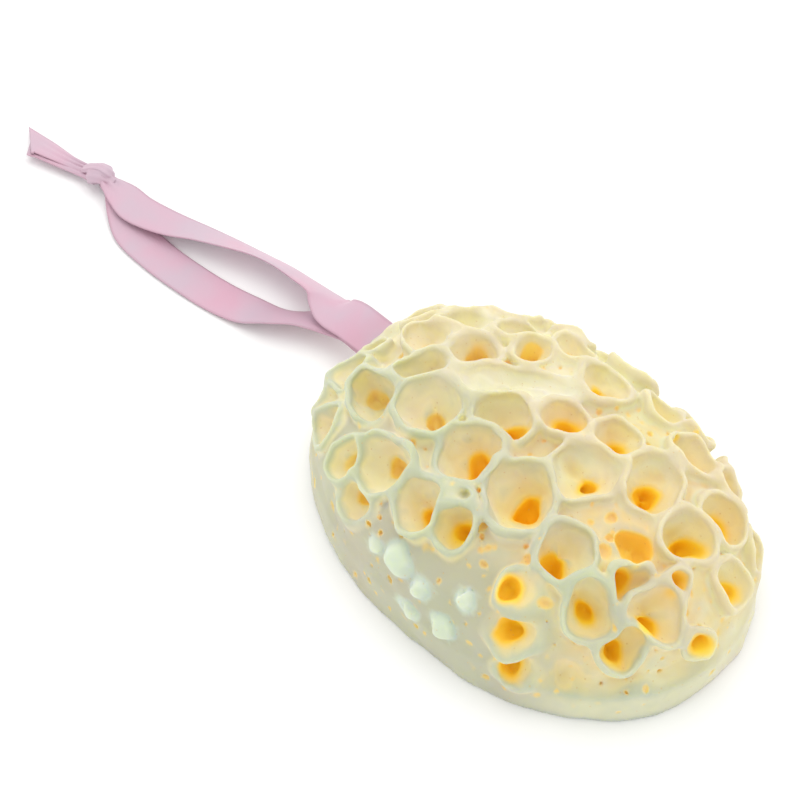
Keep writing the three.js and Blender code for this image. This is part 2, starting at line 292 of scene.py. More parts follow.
def crust_inset(x, y, z, noise):
    """How far the foam between the cups lies inside the dome, and the near wall's share."""
    bearing = np.degrees(np.arctan2(y / HALF_WIDTH, x / HALF_LENGTH)) % 360.0
    near_side = smooth_step(*NEAR_IN, bearing) * (1.0 - smooth_step(*NEAR_OUT, bearing))
    near_wall = near_side * (1.0 - smooth_step(*FLAT_TOP, z))
    # The near wall's painted shade, which fades out with height.
    near_shade_share = near_side * (1.0 - smooth_step(*SHADE_TOP, z))
    above_band = smooth_step(BAND_TOP - 1.6, BAND_TOP + 2.2, z + 0.8 * noise)
    inset = CRUST + (NEAR_WALL_CRUST - CRUST) * near_wall
    return (inset * above_band).astype(np.float32), near_shade_share.astype(np.float32)


class Cup:
    """A flared cup: mouth centre, outward axis, mouth radius, bowl depth, hole radius.

    Its index turns the waves of its outline, shift moves its hole in x and y, and
    length stretches it at a bearing.
    """

    def __init__(
        self, mouth, axis, radius, depth, hole, index, shift=(0.0, 0.0), length=1.0, bearing=0.0
    ):
        self.mouth = np.array(mouth, float)
        self.axis = np.array(axis, float) / np.linalg.norm(axis)
        self.radius = radius
        self.depth = depth
        self.hole = hole
        self.shift = shift
        self.phase = 2.4 * index
        self.length = length
        heading = math.radians(bearing)
        side = np.cross(self.axis, (-math.sin(heading), math.cos(heading), 0.0))
        self.side = side / np.linalg.norm(side)
        self.over = np.cross(self.axis, self.side)

    def window(self, axes, margin):
        """Slices of the grid that hold the cup and its hole."""
        deep = self.mouth - self.axis * (self.depth + HOLE_DROP)
        reach = self.radius * self.length + margin
        low = np.minimum(self.mouth, deep) - reach
        high = np.maximum(self.mouth, deep) + reach
        return grid_window(axes, low, high)

    def local(self, x, y, z):
        """Height along the axis and radius about it, with a wavering outline."""
        dx, dy, dz = x - self.mouth[0], y - self.mouth[1], z - self.mouth[2]
        height = dx * self.axis[0] + dy * self.axis[1] + dz * self.axis[2]
        u = (dx * self.side[0] + dy * self.side[1] + dz * self.side[2]) / self.length
        v = dx * self.over[0] + dy * self.over[1] + dz * self.over[2]
        angle = np.arctan2(v, u)
        oval = OVAL_WAVE * np.cos(2 * angle + self.phase)
        triple = TRIPLE_WAVE * np.cos(3 * angle + 2 * self.phase)
        waver = RIM_WAVE * self.radius * np.cos(2 * angle + 1.7 * self.phase)
        return height + waver, np.hypot(u, v) / (1.0 + oval + triple)

    def outside(self, x, y, z):
        """Distance to the solid cup, a half ellipsoid with a rounded rim."""
        height, radius = self.local(x, y, z)
        wide, deep = self.radius + RIM_WALL, self.depth + FLOOR_WALL
        bowl = ((radius / wide) ** 2 + (np.minimum(height, 0.0) / deep) ** 2) ** 0.5 - 1.0
        return smooth_max(bowl * LEVEL_SCALE * min(wide, deep), height - 0.3, CUP_JOIN)

    def bowl(self, x, y, z):
        """Distance to the hollow of the cup, which flares above its mouth."""
        height, radius = self.local(x, y, z)
        inner, power = self.radius - 0.1, BOWL_POWER
        down = np.abs(np.minimum(height, 0.0) / self.depth)
        level = ((radius / inner) ** power + down ** power) ** (1 / power) - 1.0
        flare = FLARE * np.clip(height, 0.0, 4.0)
        return level * LEVEL_SCALE * min(inner, self.depth) - flare

    def shaft(self, x, y, z):
        """Distance to the deep hole in the bowl, which has a rounded floor."""
        height, radius = self.local(x - self.shift[0], y - self.shift[1], z)
        drop = HOLE_DROP * (1.0 - PALE_SHORT * self.paleness())
        below = np.maximum(1.5 - self.depth - drop - height, 0.0)
        width = self.hole * (1.0 + 0.03 * np.clip(height + self.depth, -6.0, 4.0))
        return np.maximum(np.hypot(radius, below) - width, height + 0.45 * self.depth)

    def paleness(self):
        """From 1 on the ribbon's side, where the holes are shallow and pale, to 0."""
        return 1.0 - float(smooth_step(*PALE_X, self.mouth[0]))


def unit_axis(lean_x, lean_y):
    """The upward unit vector with this x and y."""
    return (lean_x, lean_y, math.sqrt(max(0.0, 1.0 - lean_x ** 2 - lean_y ** 2)))


def rim_point(bearing_degrees, z):
    """Point on the dome at a bearing and height, and the outward direction there."""
    bearing = math.radians(bearing_degrees)
    fraction = (1 - (z / HEIGHT) ** PROFILE_POWER) ** (1 / PROFILE_POWER)
    c, s = math.cos(bearing), math.sin(bearing)
    x = HALF_LENGTH * fraction * math.copysign(abs(c) ** (2 / PLAN_POWER), c)
    y = HALF_WIDTH * fraction * math.copysign(abs(s) ** (2 / PLAN_POWER), s)
    normal = (
        math.copysign(abs(x / HALF_LENGTH) ** (PLAN_POWER - 1), x) / HALF_LENGTH,
        math.copysign(abs(y / HALF_WIDTH) ** (PLAN_POWER - 1), y) / HALF_WIDTH,
        (z / HEIGHT) ** (PROFILE_POWER - 1) / HEIGHT,
    )
    return (x, y, z), normal


def list_cups():
    """All cups, the ones nearest to the viewer's side last."""
    cups = []
    for x, y, z, radius, depth, lean_x, lean_y, hole, shift_x, shift_y in CUPS:
        axis = unit_axis(lean_x, lean_y)
        cups.append(Cup((x, y, z), axis, radius, depth, hole, len(cups), (shift_x, shift_y)))
    x, y, z, radius, depth, lean_x, lean_y = TROUGH
    trough = Cup(
        (x, y, z), unit_axis(lean_x, lean_y), radius, depth, 0, len(cups) + 1,
        length=TROUGH_LENGTH, bearing=TROUGH_BEARING,
    )
    cups.append(trough)
    for bearing, z, radius, depth, hole in SIDE_CUPS:
        mouth, normal = rim_point(bearing, z)
        cups.append(Cup(mouth, normal, radius, depth, hole, len(cups) + 1))
    return sorted(cups, key=lambda cup: float(cup.mouth @ FRONT))


def ball_window(axes, centre, reach):
    """Slices of the grid that hold a ball."""
    return grid_window(axes, np.array(centre) - reach, np.array(centre) + reach)


def ball_distance(x, y, z, centre, radius, stretch=(1.0, 1.0, 1.0)):
    """Distance to a ball whose axes are stretched."""
    dx, dy, dz = ((v - c) / s for v, c, s in zip((x, y, z), centre, stretch))
    return np.sqrt(dx ** 2 + dy ** 2 + dz ** 2) - radius


class Foam:
    """The foam's signed distance on a grid in mm, with the fields its colours come from."""

    def __init__(self):
        self.axes = grid_axes()
        x, y, z = self.axes
        self.rng = np.random.default_rng(SEED)
        shape = np.broadcast_shapes(x.shape, y.shape, z.shape)
        noise = self.noise(shape, SURFACE_COARSE[0])
        grain = self.noise(shape, SURFACE_FINE[0])
        dent = root_dent(x, y, z)
        self.envelope = envelope_distance(x - dent, y, z)
        self.inset, self.wall = crust_inset(x, y, z, noise)
        rough = self.envelope + self.inset + SURFACE_COARSE[1] * noise
        self.crust = rough + SURFACE_FINE[1] * grain
        self.field = self.crust.copy()
        self.amber, self.mint, self.cupped, self.pits = (
            np.full(shape, FAR, np.float32) for _ in range(4)
        )
        self.warp = [
            WARP_COARSE[1] * self.noise(shape, WARP_COARSE[0])
            + WARP_FINE[1] * self.noise(shape, WARP_FINE[0])
            for _ in range(3)
        ]
        self.warp[0] -= dent

    def noise(self, shape, sigma):
        """Seeded smooth noise of unit spread, with features of about sigma mm."""
        field = blurred(self.rng.standard_normal(shape).astype(np.float32), sigma)
        return field / field.std()

    def change(self, window, shape_at, k, cut, mark=None, offset=0.0):
        """Join a bent shape to the foam or cut it out, and put it in a marking field."""
        x, y, z = self.axes
        places = (x[window[0]], y[:, window[1]], z[:, :, window[2]])
        distance = shape_at(*(place + warp[window] for place, warp in zip(places, self.warp)))
        old = self.field[window]
        self.field[window] = smooth_max(old, -distance, k) if cut else smooth_min(old, distance, k)
        if mark is not None:
            mark[window] = np.minimum(mark[window], distance + offset)

    def add_nubs(self):
        for x0, y0, z0, radius, slot in NUBS:
            centre = (x0, y0, z0)
            window = ball_window(self.axes, centre, radius + MARGIN)
            self.change(
                window,
                lambda x, y, z: ball_distance(x, y, z, centre, radius, NUB_STRETCH),
                NUB_JOIN, False, self.mint,
            )
            if slot:
                gap, size = (x0 - SLOT_X * radius, y0 - SLOT_Y * radius, z0), SLOT_RADIUS * radius
                self.change(
                    window,
                    lambda x, y, z: ball_distance(x, y, z, gap, size, SLOT_STRETCH),
                    SLOT_CUT, True,
                )

    def add_cups(self):
        for cup in list_cups():
            window = cup.window(self.axes, CUP_MARGIN)
            self.change(window, cup.outside, CUP_JOIN, False, self.cupped)
            self.change(window, cup.bowl, BOWL_CUT, True)
            if cup.hole > 0:
                offset = PALE_OFFSET * cup.paleness()
                self.change(window, cup.shaft, SHAFT_CUT, True, self.amber, offset)

    def add_root(self):
        """Close the cups that the ribbon would otherwise cross."""
        lean = math.radians(ROOT_LEAN)
        radius = ROOT_LUMP_RADII[2]
        stretch = [each / radius for each in ROOT_LUMP_RADII]

        def lump(x, y, z):
            dy, dz = y - ROOT_LUMP[1], z - ROOT_LUMP[2]
            across = math.cos(lean) * dy + math.sin(lean) * dz
            through = math.cos(lean) * dz - math.sin(lean) * dy
            return ball_distance(x, across, through, (ROOT_LUMP[0], 0.0, 0.0), radius, stretch)

        window = ball_window(self.axes, ROOT_LUMP, max(ROOT_LUMP_RADII) + MARGIN)
        self.change(window, lump, ROOT_JOIN, False)

    def add_holes(self):
        """Cut the plain holes and the soft hollow."""
        for index, (x, y, z, radius, depth, lean_x, lean_y) in enumerate(HOLES):
            hole = Cup((x, y, z), unit_axis(lean_x, lean_y), radius, depth, radius, index)

            def tube(gx, gy, gz):
                height, across = hole.local(gx, gy, gz)
                return np.hypot(across, np.maximum(-depth - height, 0.0)) - radius

            window = hole.window(self.axes, HOLE_MARGIN)
            self.change(window, tube, HOLE_CUT, True, self.amber, HOLE_OFFSET)
        self.change(
            ball_window(self.axes, DIMPLE, DIMPLE_RADIUS + MARGIN),
            lambda x, y, z: ball_distance(x, y, z, DIMPLE, DIMPLE_RADIUS),
            DIMPLE_CUT, True, self.amber, DIMPLE_OFFSET,
        )

    def add_pinholes(self):
        """Seeded pits on the foam between the cups, with fewer on the plain band."""
        x, y, z = self.axes
        untouched = np.minimum(np.minimum(self.cupped - 0.8, self.mint - 0.6), self.amber - 1.5)
        open_foam = (np.abs(self.field) < 0.5 * VOXEL) & (untouched > 0.0)
        places = np.argwhere(open_foam)
        self.rng.shuffle(places)
        kept = []
        for i, j, k in places[:PINHOLE_TRIES]:
            place = np.array([x[i, 0, 0], y[0, j, 0], z[0, 0, k]])
            share = BAND_SHARE if place[2] < BAND_TOP else 1.0
            if place[2] < PLAIN_FOOT or self.rng.random() > share:
                continue
            if all(np.abs(place - other).sum() > PINHOLE_STEP for other in kept):
                kept.append(place)
        least, more = PINHOLE_RADIUS
        pits = [(place, least + more * self.rng.random() ** 2) for place in kept]
        pits += [(np.array(pit[:3]), pit[3]) for pit in PITS]
        for place, radius in pits:
            stretch = PINHOLE_STRETCH[0] + PINHOLE_STRETCH[1] * self.rng.random(3)
            self.change(
                ball_window(self.axes, place, radius + PIT_MARGIN),
                lambda px, py, pz: ball_distance(px, py, pz, place, radius, stretch),
                PIT_CUT, True, self.pits,
            )

    def close(self):
        """Cut the foam off at its flat base."""
        self.field = smooth_max(self.field, -self.axes[2], BASE_CUT).astype(np.float32)


def sampled(field, points):
    """Trilinear samples of a grid field at points in mm."""
    place = (points - GRID_LOW) / VOXEL
    base = np.clip(np.floor(place).astype(int), 0, np.array(field.shape) - 2)
    part = place - base
    total = np.zeros(len(points))
    for corner in range(8):
        step = np.array([(corner >> i) & 1 for i in range(3)])
        weight = np.prod(np.where(step, part, 1.0 - part), axis=1)
        at = base + step
        total += weight * field[at[:, 0], at[:, 1], at[:, 2]]
    return total


def polygonised(field):
    """Points in mm and triangles of the surface where the field is 0."""
    grid = openvdb.FloatGrid(BACKGROUND)
    grid.copyFromArray(field)
    points, triangles, quads = grid.convertToPolygons(0.0, 0.0)
    points = points * VOXEL + GRID_LOW
    triangles = np.concatenate([triangles, quads[:, [0, 1, 2]], quads[:, [0, 2, 3]]])
    return points, triangles


def largest_piece(points, triangles):
    """The biggest connected surface, without the bubbles that are sealed in the foam."""
    label = np.arange(len(points))
    ends = np.concatenate([triangles[:, [0, 1]], triangles[:, [1, 2]]])
    while True:
        pair = label[ends]
        low, high = pair.min(axis=1), pair.max(axis=1)
        if np.array_equal(low, high):
            break
        np.minimum.at(label, high, low)
        while not np.array_equal(label[label], label):
            label = label[label]
    kept = label[triangles[:, 0]] == np.bincount(label).argmax()
    used, places = np.unique(triangles[kept], return_inverse=True)
    return points[used], places.reshape(-1, 3)


def mesh_object(name, points_mm, faces):
    """A new object from points in mm and a list of faces."""
    mesh = bpy.data.meshes.new(name)
    mesh.from_pydata((points_mm * MM).tolist(), [], faces)
    mesh.validate()
    mesh.update()
    piece = bpy.data.objects.new(name, mesh)
    bpy.context.scene.collection.objects.link(piece)
    return piece


def signed_volume(points, faces):
    a, b, c = (points[faces[:, i]] for i in range(3))
    return float(np.einsum("ij,ij->i", a, np.cross(b, c)).sum()) / 6.0


def apply_modifiers(piece):
    """Replace a piece's mesh by what its modifiers make of it."""
    depsgraph = bpy.context.evaluated_depsgraph_get()
    mesh = bpy.data.meshes.new_from_object(piece.evaluated_get(depsgraph))
    piece.modifiers.clear()
    piece.data = mesh


def vertex_array(mesh):
    values = np.empty(3 * len(mesh.vertices), np.float32)
    mesh.vertices.foreach_get("co", values)
    return values.reshape(-1, 3)


def store_attribute(mesh, name, values):
    """Keep a value from 0 to 1 at each point, for the material to read."""
    attribute = mesh.attributes.new(name, "FLOAT", "POINT")
    attribute.data.foreach_set("value", np.clip(values, 0.0, 1.0).astype(np.float32))


def foam_attributes(foam, places):
    """What the foam's colours come from, at points in mm."""
    # How closed in a point is, from the share of foam round it at two sizes; the material paints
    # light and shade by it.
    solidity = np.clip(0.5 - foam.field / (2.0 * VOXEL), 0.0, 1.0)
    # 1 on the crust that no cup has reached.
    crust = 1.0 - smooth_step(0.3, 1.6, np.abs(sampled(foam.crust, places)))
    outside_cups = smooth_step(0.2, 1.4, sampled(foam.cupped, places))
    amber = sampled(foam.amber, places)
    return {
        "near": sampled(blurred(solidity, 1.3), places),
        "wide": sampled(blurred(solidity, 3.6), places),
        "depth": -sampled(foam.envelope, places) / 20.0,
        "between": outside_cups * crust * sampled(foam.inset, places) / CRUST,
        "amber": 1.0 - smooth_step(-0.2, 1.6, amber),
        "halo": 1.0 - smooth_step(0.0, 7.0, amber),
        "pits": 1.0 - smooth_step(0.0, 0.5, sampled(foam.pits, places)),
        "wall": outside_cups * sampled(foam.wall, places),
        "mint": 1.0 - smooth_step(0.4, 1.6, sampled(foam.mint, places)),
    }


def build_sponge():
    foam = Foam()
    foam.add_nubs()
    foam.add_cups()
    foam.add_root()
    foam.add_holes()
    foam.add_pinholes()
    foam.close()
    points, faces = largest_piece(*polygonised(foam.field))
    if signed_volume(points, faces) < 0:
        faces = faces[:, ::-1]
    piece = mesh_object("foam_body", points, faces.tolist())
    if len(faces) > MAX_TRIANGLES:
        reduce = piece.modifiers.new("reduce", "DECIMATE")
        reduce.ratio = MAX_TRIANGLES / len(faces)
        apply_modifiers(piece)
    for name, values in foam_attributes(foam, vertex_array(piece.data) / MM).items():
        store_attribute(piece.data, name, values)
    piece.data.shade_smooth()
    return piece


# ------------------------------------------------------------------ node helpers
def new_material(name):
    """A material, its nodes and links, and its shader."""
    material = bpy.data.materials.new(name)
    material.use_nodes = True
    nodes = material.node_tree.nodes
    return material, nodes, material.node_tree.links, nodes["Principled BSDF"]


def ramp(nodes, links, source, stops):
    """Colour ramp over stops of a place and a colour."""
    node = nodes.new("ShaderNodeValToRGB")
    elements = node.color_ramp.elements
    elements[0].position, elements[0].color = stops[0][0], (*stops[0][1], 1.0)
    elements[1].position, elements[1].color = stops[-1][0], (*stops[-1][1], 1.0)
    for position, color in stops[1:-1]:
        elements.new(position).color = (*color, 1.0)
    links.new(source, node.inputs["Fac"])
    return node.outputs["Color"]


def grey_ramp(nodes, links, source, stops):
    return ramp(nodes, links, source, [(place, (value, value, value)) for place, value in stops])


def attribute(nodes, name):
    node = nodes.new("ShaderNodeAttribute")
    node.attribute_name = name
    return node.outputs["Fac"]


def noise_node(nodes, links, coordinates, scale, detail=3.0, roughness=0.5):
    node = nodes.new("ShaderNodeTexNoise")
    node.inputs["Scale"].default_value = scale
    node.inputs["Detail"].default_value = detail
    node.inputs["Roughness"].default_value = roughness
    links.new(coordinates, node.inputs["Vector"])
    return node.outputs["Fac"]


def color_mix(nodes, links, mode, factor, first, second):
    """Blend from the first colour to the second by a factor, each a value or a socket."""
    node = nodes.new("ShaderNodeMix")
    node.data_type = "RGBA"
    node.blend_type = mode
    if isinstance(factor, (int, float)):
        node.inputs["Factor"].default_value = factor
    else:
        links.new(factor, node.inputs["Factor"])
    for socket, value in ((node.inputs[6], first), (node.inputs[7], second)):
        if isinstance(value, tuple):
            socket.default_value = (*value, 1.0)
        else:
            links.new(value, socket)
    return node.outputs[2]


def add_bump(nodes, links, shader, height, strength, distance):
    """Give a shader bumps from a height, with a distance in metres."""
    bump = nodes.new("ShaderNodeBump")
    bump.inputs["Strength"].default_value = strength
    bump.inputs["Distance"].default_value = distance
    links.new(height, bump.inputs["Height"])
    links.new(bump.outputs["Normal"], shader.inputs["Normal"])


def math_node(nodes, links, operation, first, second):
    node = nodes.new("ShaderNodeMath")
    node.operation = operation
    for socket, value in zip(node.inputs, (first, second)):
        if isinstance(value, (int, float)):
            socket.default_value = value
        else:
            links.new(value, socket)
    return node.outputs[0]


# The foam's colours, by how closed in, how near a hole or how deep a point is; much of this is
# painted light and shade.
BOWL_COLORS = [
    (0.36, (0.70, 0.68, 0.48)),
    (0.50, (0.78, 0.77, 0.56)),
    (0.64, (0.83, 0.79, 0.51)),
    (0.78, (0.87, 0.77, 0.40)),
]
HALO_GLOW_COLOR = (0.88, 0.70, 0.25)
BETWEEN_COLOR = (0.80, 0.67, 0.34)
RIBBON_END_COLOR = (0.82, 0.76, 0.54)
# Painted shade on the rims, darker and cooler on the near side.
RIM_SHADE_COLORS = [
    (0.26, (0.49, 0.52, 0.415)),
    (0.60, (0.63, 0.565, 0.41)),
]
NEAR_WALL_SHADE_COLOR = (0.45, 0.455, 0.345)
# Painted glow in the deep holes, more orange with depth.
GLOW_COLORS = [
    (0.05, (0.86, 0.60, 0.06)),
    (0.45, (0.88, 0.57, 0.02)),
    (0.75, (0.88, 0.46, 0.0)),
]
PIT_GLOW_COLOR = (0.92, 0.66, 0.17)
MINT_COLOR = (0.60, 0.67, 0.56)
TINTS = [
    (0.38, (1.0, 0.96, 0.97)),
    (0.50, (1.0, 1.0, 1.0)),
    (0.62, (0.985, 1.0, 0.965)),
]
CELL_SHADE_COLOR = (0.66, 0.44, 0.16)

# Noise and cell scales, per metre.
MOTTLE_SCALE, DRIFT_SCALE, CELL_SCALE, GRAIN_SCALE = 160.0, 42.0, 420.0, 1500.0


def foam_material():
    material, nodes, links, shader = new_material("foam")
    coordinates = nodes.new("ShaderNodeTexCoord").outputs["Object"]
    place = nodes.new("ShaderNodeSeparateXYZ")
    links.new(coordinates, place.inputs[0])
    depth = attribute(nodes, "depth")
    amber = attribute(nodes, "amber")

    def math_of(operation, first, second):
        return math_node(nodes, links, operation, first, second)

    def greys(source, stops):
        return grey_ramp(nodes, links, source, stops)

    def mixed(factor, first, second, mode="MIX"):
        return color_mix(nodes, links, mode, factor, first, second)

    # Cream bowls, painted brighter and yellower where they are deep and closed in, standing in for
    # light bounced and scattered in the hollows.
    closed = math_of("MULTIPLY", attribute(nodes, "wide"), 0.75)
    inward = math_of("ADD", closed, math_of("MULTIPLY", depth, 0.5))
    color = ramp(nodes, links, inward, BOWL_COLORS)

    # Yellower towards the holes, a painted glow spreading round them, and, in patches, between the
    # cups.
    halo = math_of("MULTIPLY", attribute(nodes, "halo"), 0.6)
    color = mixed(halo, color, HALO_GLOW_COLOR)
    mottle = noise_node(nodes, links, coordinates, MOTTLE_SCALE, 2.0)
    patches = greys(mottle, [(0.35, 0.35), (0.65, 0.95)])
    between = math_of("MULTIPLY", attribute(nodes, "between"), patches)
    color = mixed(between, color, BETWEEN_COLOR)

    # The dye is paler towards the ribbon's end.
    along = math_of("ADD", math_of("MULTIPLY", place.outputs["X"], 10.0), 0.5)
    color = mixed(greys(along, [(0.2, 0.55), (0.6, 0.0)]), color, RIBBON_END_COLOR)

    # Pale grey rims, painted shade where the thin lips gather less bounced light than the hollows,
    # darker and cooler on the near side, away from the key light.
    lip = greys(attribute(nodes, "near"), [(0.36, 1.0), (0.53, 0.0)])
    across = math_of("ADD", math_of("MULTIPLY", place.outputs["Y"], 12.0), 0.5)
    color = mixed(lip, color, ramp(nodes, links, across, RIM_SHADE_COLORS))

    # Painted shade: the near wall, turned away from the key light, is duller and greyer.
    wall = math_of("MULTIPLY", attribute(nodes, "wall"), 0.75)
    color = mixed(wall, color, NEAR_WALL_SHADE_COLOR)

    # Painted glow: amber in the deep holes and the pits, more orange further down, standing in for
    # light scattered in the yellow foam; and mint nubs.
    glow = ramp(nodes, links, depth, GLOW_COLORS)
    color = mixed(amber, color, glow)
    pits = math_of("MULTIPLY", attribute(nodes, "pits"), 0.65)
    color = mixed(pits, color, PIT_GLOW_COLOR)
    color = mixed(attribute(nodes, "mint"), color, MINT_COLOR)

    # Slow drifts of rose and green, as on the real dye.
    drift = noise_node(nodes, links, coordinates, DRIFT_SCALE, 2.0)
    color = mixed(1.0, color, ramp(nodes, links, drift, TINTS), "MULTIPLY")

    # Pinpricks of open cells, painted darker as shade in the tiny pores.
    cells = nodes.new("ShaderNodeTexVoronoi")
    cells.inputs["Scale"].default_value = CELL_SCALE
    links.new(coordinates, cells.inputs["Vector"])
    dots = greys(cells.outputs["Distance"], [(0.07, 1.0), (0.13, 0.0)])
    color = mixed(math_of("MULTIPLY", dots, 0.4), color, CELL_SHADE_COLOR)
    links.new(color, shader.inputs["Base Color"])

    # Painted glow: the holes emit light, standing in for light that comes through the thin foam
    # round them.
    links.new(glow, shader.inputs["Emission Color"])
    links.new(math_of("MULTIPLY", amber, 0.12), shader.inputs["Emission Strength"])
    shader.inputs["Roughness"].default_value = 0.85
    shader.inputs["Specular IOR Level"].default_value = 0.2
    shader.inputs["Subsurface Weight"].default_value = 0.9
    shader.inputs["Subsurface Radius"].default_value = (1.0, 0.95, 0.35)
    shader.inputs["Subsurface Scale"].default_value = 0.005

    grain = noise_node(nodes, links, coordinates, GRAIN_SCALE, 3.0, 0.6)
    height = math_of("SUBTRACT", grain, math_of("MULTIPLY", dots, 1.5))
    add_bump(nodes, links, shader, height, 0.35, 0.0002)
    return material


# -------------------------------------------------------------------- ribbon, mm
RIBBON_WIDTH = 13.5
RIBBON_THICKNESS = 0.3

# Points across a strip, and the spacing of its rows in the loop and in the tails.
COLUMNS, LOOP_STEP, TAIL_STEP = 25, 1.2, 0.8

# Folds across a gathered strip, how high they stand, and how far a strip is crowned.
PLEATS, PLEAT_HEIGHT, CROWN = 3, 0.9, 0.25

# Centre line x, y, z, roll about the run's length in degrees from flat, and width.
LOWER_STRAND = [
    (-54, 3.6, 14.5, -30, 13.5),
    (-66, 3.4, 15.3, -34, 13.5),
    (-76, 4.2, 14.2, -40, 13.5),
    (-85, 5.2, 11.3, -25, 13.5),
    (-94, 3.0, 6.9, 5, 13.5),
    (-102, -2.2, 4.4, 28, 13.5),
    (-109, -7.2, 3.2, 24, 13.5),
    (-118, -11, 1.4, 5, 13.5),
    (-129, -14.2, 0.8, 0, 13.5),
    (-142, -16.6, 0.8, 0, 13.5),
    (-156, -18.2, 0.8, 0, 13.5),
    (-170, -18.2, 1, 0, 13.5),
    (-180, -14.8, 1.8, 0, 12.8),
    (-187, -12.9, 3, 0, 9.6),
    (-191, -12.6, 3.8, 0, 6.6),
    (-195, -12.8, 4.4, 0, 4.6),
]
UPPER_STRAND = [
    (-54, 4.1, 15.6, -30, 13.5),
    (-66, 3.9, 16.4, -34, 13.5),
    (-76, 4.2, 15.4, -40, 13.5),
    (-85, 5.0, 12.8, -25, 13.5),
    (-93, 5.2, 9.9, -7, 13.5),
    (-98, 6.9, 8.7, 11, 13.5),
    (-103, 8.4, 7.6, 35, 13.5),
    (-113, 8.4, 6, 41, 13.5),
    (-123, 7.2, 5.6, 43, 13.5),
    (-132, 4.8, 5.4, 42, 13.5),
    (-142, 1.2, 5, 34, 13.5),
    (-153, -2.9, 4.2, 24, 13.5),
    (-165, -7.8, 3.2, 10, 13.5),
    (-177, -11.6, 3.2, 2, 13.4),
    (-185, -12.0, 4.2, 0, 11.5),
    (-190, -12.3, 4.8, 0, 8.6),
    (-195, -12.6, 5.6, 0, 4.8),
]
TAIL = [
    (-199, -13, 5, 0, 4.6),
    (-206, -14.1, 3.8, 10, 4.8),
    (-213, -15.6, 3.1, 16, 6.8),
    (-222, -17.6, 2.7, 16, 9.4),
    (-231.5, -19.7, 2.5, 14, 11.8),
]

# How far the tails' ends are cut back from one edge to the other, and where the
# layer underneath lies from the one on top.
TAIL_SLANT, UNDER_SLANT = -13.0, -9.0
UNDER_OFFSET = (1.2, -0.9, -0.7)

# The knot's path about its centre: towards the tail, across the ribbon and up.
KNOT_CENTRE = np.array([-197.5, -12.7, 5.2])
TOWARD_TAIL = (-0.98, -0.2, 0.0)
KNOT_AXES = np.array([TOWARD_TAIL, (TOWARD_TAIL[1], -TOWARD_TAIL[0], 0.0), (0.0, 0.0, 1.0)])
KNOT_PATH = [
    (-6.0, 0.0, -0.6),
    (-4.0, -0.4, 0.2),
    (-1.2, -1.8, 1.5),
    (2.0, -2.6, 0.6),
    (3.0, -1.0, -1.5),
    (1.2, 1.7, -1.9),
    (-1.9, 2.5, -0.6),
    (-2.5, 1.4, 1.8),
    (0.4, 0.6, 2.6),
    (3.8, -0.2, 1.4),
    (7.0, -0.5, -0.2),
]

# The gathered band in the knot: its half width and half thickness at its ends and
# how much fuller it is halfway, then its points round, its row spacing, and its
# pleats with their height as a share of its radius.
KNOT_HALF_WIDTH, KNOT_HALF_THICKNESS = (2.0, 0.7), (0.8, 0.75)
KNOT_POINTS, KNOT_STEP, KNOT_PLEATS, KNOT_PLEAT_SHARE = 32, 0.5, 7, 0.10


def catmull(points, t):
    """Point on a Catmull-Rom curve through rows of numbers, t from 0 to 1."""
    rows = np.array(points, float)
    place = min(max(t, 0.0), 1.0) * (len(rows) - 1)
    i = min(int(place), len(rows) - 2)
    u = place - i
    p1, p2 = rows[i], rows[i + 1]
    p0 = rows[i - 1] if i > 0 else 2 * p1 - p2
    p3 = rows[i + 2] if i + 2 < len(rows) else 2 * p2 - p1
    return 0.5 * (2 * p1 + (p2 - p0) * u + (2 * p0 - 5 * p1 + 4 * p2 - p3) * u ** 2
                  + (3 * p1 - p0 - 3 * p2 + p3) * u ** 3)


def even_rows(run, step):
    """Rows at even spacing along a curve, with unit vectors along it."""
    fine = np.array([catmull(run, t) for t in np.linspace(0, 1, 40 * len(run))])
    lengths = np.concatenate([[0], np.cumsum(np.linalg.norm(np.diff(fine[:, :3], axis=0), axis=1))])
    count = max(2, round(lengths[-1] / step))
    places = np.linspace(0, lengths[-1], count + 1)
    rows = np.stack([np.interp(places, lengths, column) for column in fine.T], axis=1)
    along = np.gradient(rows[:, :3], axis=0)
    return rows, along / np.linalg.norm(along, axis=1)[:, None]


def run_sections(run, step):
    """Centre, across and up vectors and width at even spacing along a ribbon run."""
    sections = []
    for row, tangent in zip(*even_rows(run, step)):
        across = Vector((0, 0, 1)).cross(Vector(tangent)).normalized()
        side = Matrix.Rotation(math.radians(row[3]), 3, Vector(tangent)) @ across
        sections.append((row[:3], np.array(side), np.array(Vector(tangent).cross(side)), row[4]))
    return sections


def ribbon_object(name, points, faces, places):
    """A ribbon piece, which keeps how far across and along the ribbon each point is."""
    piece = mesh_object(name, np.array(points), faces)
    across, along = np.array(places).T
    store_attribute(piece.data, "across", across)
    store_attribute(piece.data, "along", along)
    return piece


def strip_mesh(name, sections, slant=0.0):
    """A ribbon strip as a grid of points. Where it is narrow, its cloth stands in pleats."""
    count = len(sections)
    points, faces, places = [], [], []
    for i, (centre, side, up, width) in enumerate(sections):
        along = np.cross(side, up)
        pleat = PLEAT_HEIGHT * smooth_step(0.1, 1.0, 1.0 - width / RIBBON_WIDTH)
        for j in range(COLUMNS):
            across = 2 * j / (COLUMNS - 1) - 1
            shift = across * slant / 2 * smooth_step(0.75, 1.0, i / (count - 1))
            fold = pleat * math.cos(PLEATS * math.pi * across)
            rise = fold + CROWN * (1.0 - across ** 2)
            points.append(centre + side * across * width / 2 + up * rise + along * shift)
            places.append((0.5 + 0.5 * across, i / (count - 1)))
    for i in range(count - 1):
        for j in range(COLUMNS - 1):
            a = i * COLUMNS + j
            faces.append((a, a + 1, a + COLUMNS + 1, a + COLUMNS))
    return ribbon_object(name, points, faces, places)


